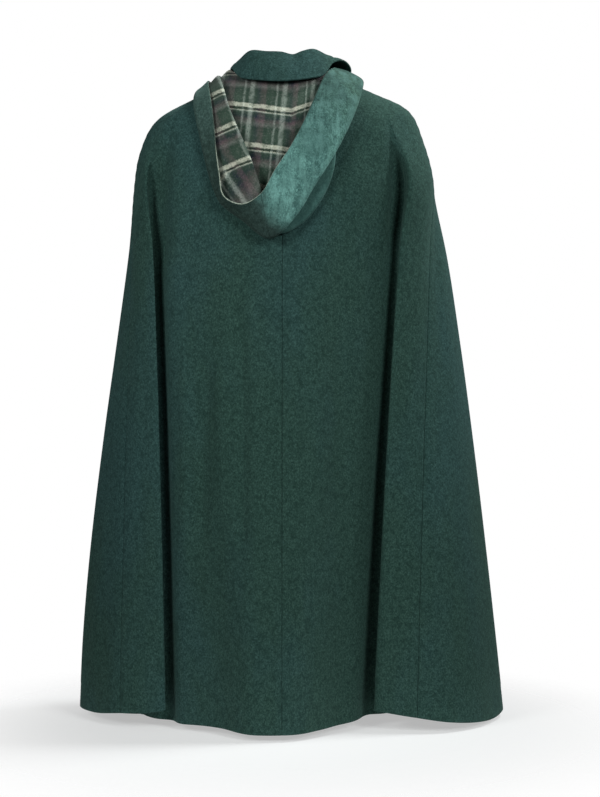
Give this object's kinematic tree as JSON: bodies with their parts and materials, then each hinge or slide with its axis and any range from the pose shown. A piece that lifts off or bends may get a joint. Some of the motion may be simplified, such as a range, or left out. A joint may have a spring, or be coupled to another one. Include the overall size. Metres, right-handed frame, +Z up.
{
  "type": "hooded cape",
  "caption": "Long hooded wool cape, filled out as when worn, with a turned-down collar, deep side folds and a plaid-lined hood lying down the back.",
  "frame": {"origin": "centre of the neck opening at the height of the neck seam, where the wearer's neck and shoulders carry it", "axes": "+Z up, +Y towards the back of the garment, +X towards the wearer's left"},
  "size_m": [0.693, 0.3635, 1.0593],
  "materials": {
    "wool": "napped bottle-green wool coating",
    "hood_wool": "brushed wool in a lighter green",
    "lining": "brushed wool plaid in green, mauve, navy and cream",
    "button": "dark horn, satin"
  },
  "bodies": {
    "root": {"back_left": "wool", "back_right": "wool", "front_left": "wool", "front_right": "wool", "collar": "wool", "throat_button": "button", "hood_shell_left": "hood_wool", "hood_shell_right": "hood_wool", "hood_lining_left": "lining", "hood_lining_right": "lining"}
  },
  "joints": []
}
